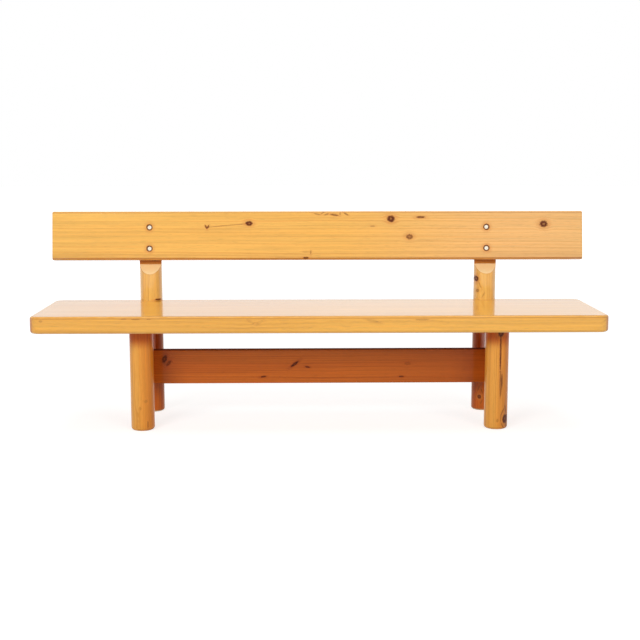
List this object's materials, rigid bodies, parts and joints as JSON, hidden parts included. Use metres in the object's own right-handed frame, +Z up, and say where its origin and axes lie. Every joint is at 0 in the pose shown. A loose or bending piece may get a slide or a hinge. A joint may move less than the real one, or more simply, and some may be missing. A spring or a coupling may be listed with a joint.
{
  "type": "pine bench",
  "caption": "Long pine bench with a thick plank seat and a leaning plank backrest, carried by round legs and notched round posts, with deep side rails and a stretcher.",
  "frame": {"origin": "on the floor, under the middle of the bench's length and overall depth", "axes": "+X along the bench to the sitter's left as the bench is seen from its front (right in the picture), +Y from the seat's front edge to the backrest, +Z up"},
  "size_m": [2, 0.5182, 0.7681],
  "materials": {
    "seat_pine": "glossy clear lacquer",
    "backrest_pine": "glossy clear lacquer",
    "round_pine": "glossy clear lacquer",
    "frame_pine": "satin clear lacquer",
    "beech": "bare",
    "plated_steel": "nickel plated",
    "zinc_steel": "yellow zinc"
  },
  "bodies": {
    "root": {"seat_panel": "seat_pine", "backrest_board": "backrest_pine", "stretcher_board": "frame_pine", "front_leg_left": "round_pine", "rear_post_left": "round_pine", "side_rail_left": "frame_pine", "seat_cleat_left": "frame_pine", "seat_dowel_left": "beech", "cleat_rail_screws_left": "zinc_steel", "cleat_seat_screws_left": "zinc_steel", "backrest_bolt_left_lower": "plated_steel", "sleeve_nut_left_lower": "plated_steel", "stretcher_bolt_left_lower": "plated_steel", "barrel_nut_left_lower": "plated_steel", "backrest_bolt_left_upper": "plated_steel", "sleeve_nut_left_upper": "plated_steel", "stretcher_bolt_left_upper": "plated_steel", "barrel_nut_left_upper": "plated_steel", "front_leg_right": "round_pine", "rear_post_right": "round_pine", "side_rail_right": "frame_pine", "seat_cleat_right": "frame_pine", "seat_dowel_right": "beech", "cleat_rail_screws_right": "zinc_steel", "cleat_seat_screws_right": "zinc_steel", "backrest_bolt_right_lower": "plated_steel", "sleeve_nut_right_lower": "plated_steel", "stretcher_bolt_right_lower": "plated_steel", "barrel_nut_right_lower": "plated_steel", "backrest_bolt_right_upper": "plated_steel", "sleeve_nut_right_upper": "plated_steel", "stretcher_bolt_right_upper": "plated_steel", "barrel_nut_right_upper": "plated_steel"}
  },
  "joints": []
}
